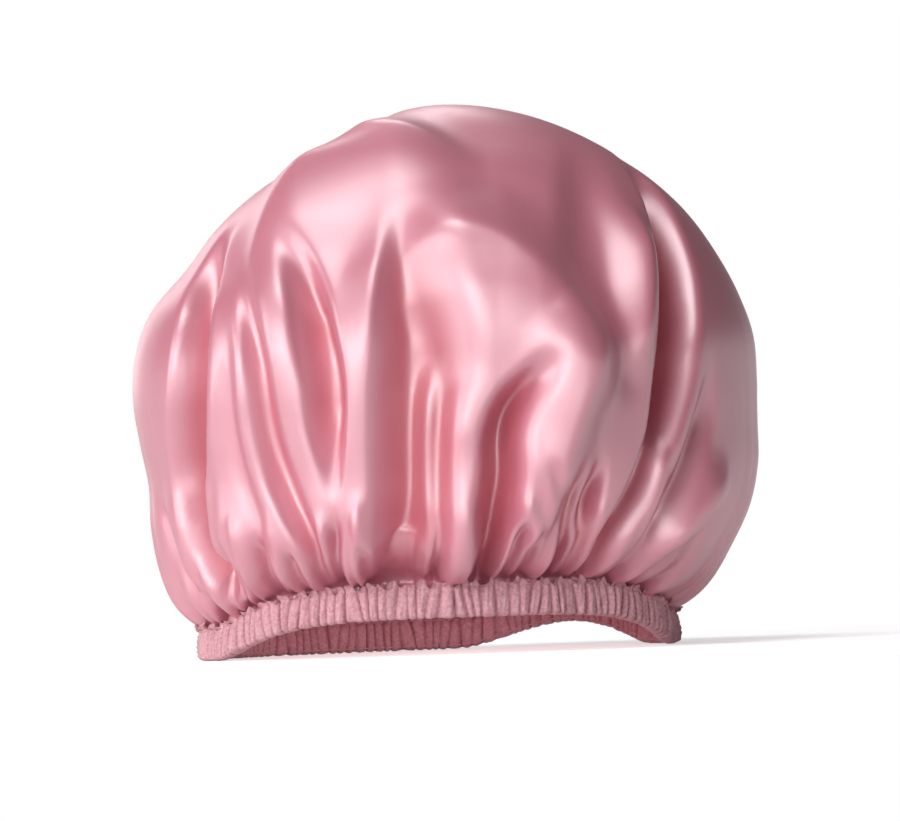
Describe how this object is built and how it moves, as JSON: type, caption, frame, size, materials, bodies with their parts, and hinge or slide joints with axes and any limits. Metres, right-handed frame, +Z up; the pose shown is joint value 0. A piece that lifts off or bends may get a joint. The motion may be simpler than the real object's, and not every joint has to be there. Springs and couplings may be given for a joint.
{
  "type": "satin sleep bonnet",
  "caption": "Puffed satin bonnet with deep gathers on a ruffled elastic band, worn over the hair in bed or while styling; the band stretches front to back.",
  "frame": {"origin": "on the table under the middle of the bonnet's outline, where the band stands", "axes": "+X to the right of someone looking at the front of the bonnet, +Y towards the back of the head, +Z up to the top of the crown"},
  "size_m": [0.2338, 0.2194, 0.205],
  "materials": {
    "satin": "glossy satin weave, dusty pink",
    "ruffled_casing": "matt crinkled cloth with fine light flecks, dusty pink",
    "elastic_tape": "matt braided tape, off-white",
    "sewing_thread": "spun polyester thread, pink"
  },
  "bodies": {
    "rear": {"crown": "satin", "casing_rear": "ruffled_casing", "elastic_rear_left": "elastic_tape", "elastic_rear_right": "elastic_tape", "elastic_join_thread": "sewing_thread", "casing_join_thread": "sewing_thread", "crown_seam_thread_rear": "sewing_thread", "hem_thread_rear": "sewing_thread"},
    "front": {"casing_front": "ruffled_casing", "elastic_front": "elastic_tape", "crown_seam_thread_front": "sewing_thread", "hem_thread_front": "sewing_thread"}
  },
  "joints": [
    {"name": "band_stretch", "type": "slide", "parent": "rear", "child": "front", "axis": [0, -1, 0], "range_m": [0, 0.06], "stiffness_N_per_m": 80}
  ]
}
